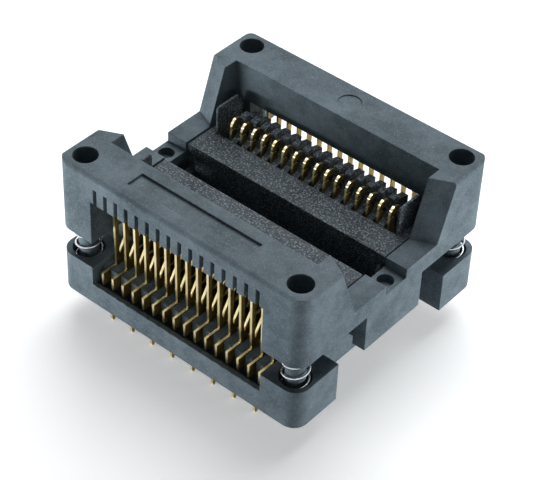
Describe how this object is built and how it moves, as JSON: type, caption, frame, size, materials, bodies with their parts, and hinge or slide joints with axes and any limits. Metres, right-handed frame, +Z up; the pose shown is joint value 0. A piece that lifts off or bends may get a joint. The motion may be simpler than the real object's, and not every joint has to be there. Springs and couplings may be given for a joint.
{
  "type": "zif socket",
  "caption": "Open-top press-down test socket: sprung cover on a base, with two rows of rocking contacts that open together to take a small-outline chip.",
  "frame": {"origin": "centre of the footprint at the level of the pin tips", "axes": "+X along the contact rows, +Y to the rear row, +Z up out of the board"},
  "size_m": [0.0288, 0.0266, 0.0183],
  "materials": {
    "black_plastic": "glass-filled black moulding",
    "nest_plastic": "coarse speckled black moulding",
    "gold_plate": "gold-plated copper alloy strip",
    "spring_steel": "bright spring wire"
  },
  "bodies": {
    "base": {"base_housing": "black_plastic", "nest_front": "nest_plastic", "nest_rear": "nest_plastic", "spring_front_left": "spring_steel", "spring_front_right": "spring_steel", "spring_rear_left": "spring_steel", "spring_rear_right": "spring_steel", "terminals_front_outer": "gold_plate", "terminals_front_inner": "gold_plate", "terminals_rear_outer": "gold_plate", "terminals_rear_inner": "gold_plate"},
    "cover": {"cover": "black_plastic"},
    "front_contacts": {"contact_front_01": "gold_plate", "contact_front_02": "gold_plate", "contact_front_03": "gold_plate", "contact_front_04": "gold_plate", "contact_front_05": "gold_plate", "contact_front_06": "gold_plate", "contact_front_07": "gold_plate", "contact_front_08": "gold_plate", "contact_front_09": "gold_plate", "contact_front_10": "gold_plate", "contact_front_11": "gold_plate", "contact_front_12": "gold_plate", "contact_front_13": "gold_plate", "contact_front_14": "gold_plate", "contact_front_15": "gold_plate", "contact_front_16": "gold_plate"},
    "rear_contacts": {"contact_rear_01": "gold_plate", "contact_rear_02": "gold_plate", "contact_rear_03": "gold_plate", "contact_rear_04": "gold_plate", "contact_rear_05": "gold_plate", "contact_rear_06": "gold_plate", "contact_rear_07": "gold_plate", "contact_rear_08": "gold_plate", "contact_rear_09": "gold_plate", "contact_rear_10": "gold_plate", "contact_rear_11": "gold_plate", "contact_rear_12": "gold_plate", "contact_rear_13": "gold_plate", "contact_rear_14": "gold_plate", "contact_rear_15": "gold_plate", "contact_rear_16": "gold_plate"}
  },
  "joints": [
    {"name": "cover_press", "type": "slide", "parent": "base", "child": "cover", "axis": [0, 0, -1], "range_m": [0, 0.0025], "stiffness_N_per_m": 2400, "springref_m": -0.0004, "deforming": ["spring_front_left", "spring_front_right", "spring_rear_left", "spring_rear_right"]},
    {"name": "front_row_swing", "type": "hinge", "parent": "base", "child": "front_contacts", "pos_m": [0, -0.0104, 0.0068], "axis": [1, 0, 0], "range_deg": [0, 6.2]},
    {"name": "rear_row_swing", "type": "hinge", "parent": "base", "child": "rear_contacts", "pos_m": [0, 0.0104, 0.0068], "axis": [-1, 0, 0], "range_deg": [0, 6.2]}
  ],
  "couplings": [
    {"joint": "front_row_swing", "follows": "cover_press", "rad_per_m": 42.586},
    {"joint": "rear_row_swing", "follows": "cover_press", "rad_per_m": 42.586}
  ]
}
